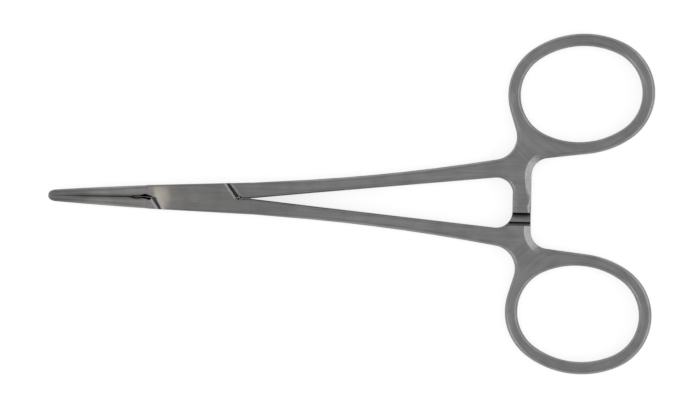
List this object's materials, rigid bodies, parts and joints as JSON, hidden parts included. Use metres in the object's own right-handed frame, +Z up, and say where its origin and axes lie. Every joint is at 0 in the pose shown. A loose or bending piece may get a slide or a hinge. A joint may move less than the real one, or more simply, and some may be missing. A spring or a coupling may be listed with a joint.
{
  "type": "hemostat forceps",
  "caption": "Slim locking forceps: two crossed handles with finger rings and a ratchet rack, joined at a box lock, closing a pair of straight, fine, grooved jaws",
  "frame": {"origin": "on the pivot axis, on the flat under the box lock", "axes": "+X towards the finger rings, jaws at -X, +Z up along the pivot"},
  "size_m": [0.1247, 0.0702, 0.0038],
  "materials": {
    "satin_steel": "satin ground stainless steel",
    "pin_steel": "flush ground and polished stainless steel"
  },
  "bodies": {
    "female_half": {"female_half": "satin_steel", "box_lock_pin": "pin_steel"},
    "male_half": {"male_half": "satin_steel"}
  },
  "joints": [
    {"name": "box_lock_hinge", "type": "hinge", "parent": "female_half", "child": "male_half", "pos_m": [0, 0, 0.0019], "axis": [0, 0, 1], "range_deg": [0, 60]}
  ]
}
